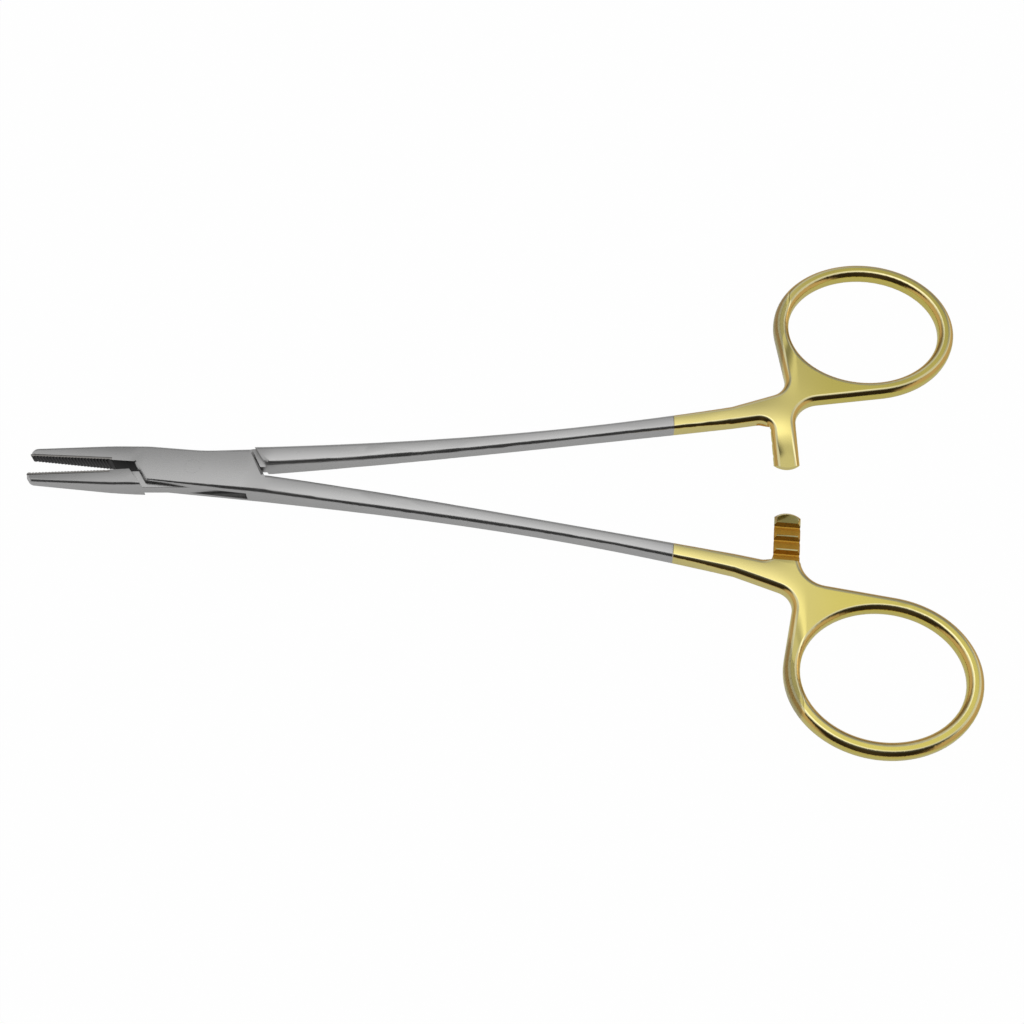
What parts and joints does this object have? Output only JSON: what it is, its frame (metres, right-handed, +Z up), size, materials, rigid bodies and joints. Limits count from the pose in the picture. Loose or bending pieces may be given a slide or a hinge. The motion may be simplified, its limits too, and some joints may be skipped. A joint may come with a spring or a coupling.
{
  "type": "surgical needle holder",
  "caption": "Needle holder with box lock: two crossed halves with carbide grip plates, ratchet arms and finger rings turn on one flush pin.",
  "frame": {"origin": "on the pivot axis, at the underside of the box lock", "axes": "+Z up along the pivot pin, +X towards the finger rings, +Y towards the ring of the tongue half"},
  "size_m": [0.159, 0.0934, 0.0042],
  "materials": {
    "satin_steel": "satin ground stainless steel, with gold plated handles from the middle of the shanks to the rings",
    "carbide": "fine ground, brownish grey, with cross grooves"
  },
  "bodies": {
    "box_side": {"box_half": "satin_steel", "box_jaw_insert": "carbide", "pivot_pin": "satin_steel"},
    "tongue_side": {"tongue_half": "satin_steel", "tongue_jaw_insert": "carbide"}
  },
  "joints": [
    {"name": "box_lock", "type": "hinge", "parent": "box_side", "child": "tongue_side", "pos_m": [0, 0, 0], "axis": [0, 0, 1], "range_deg": [-6.2, 34]}
  ]
}
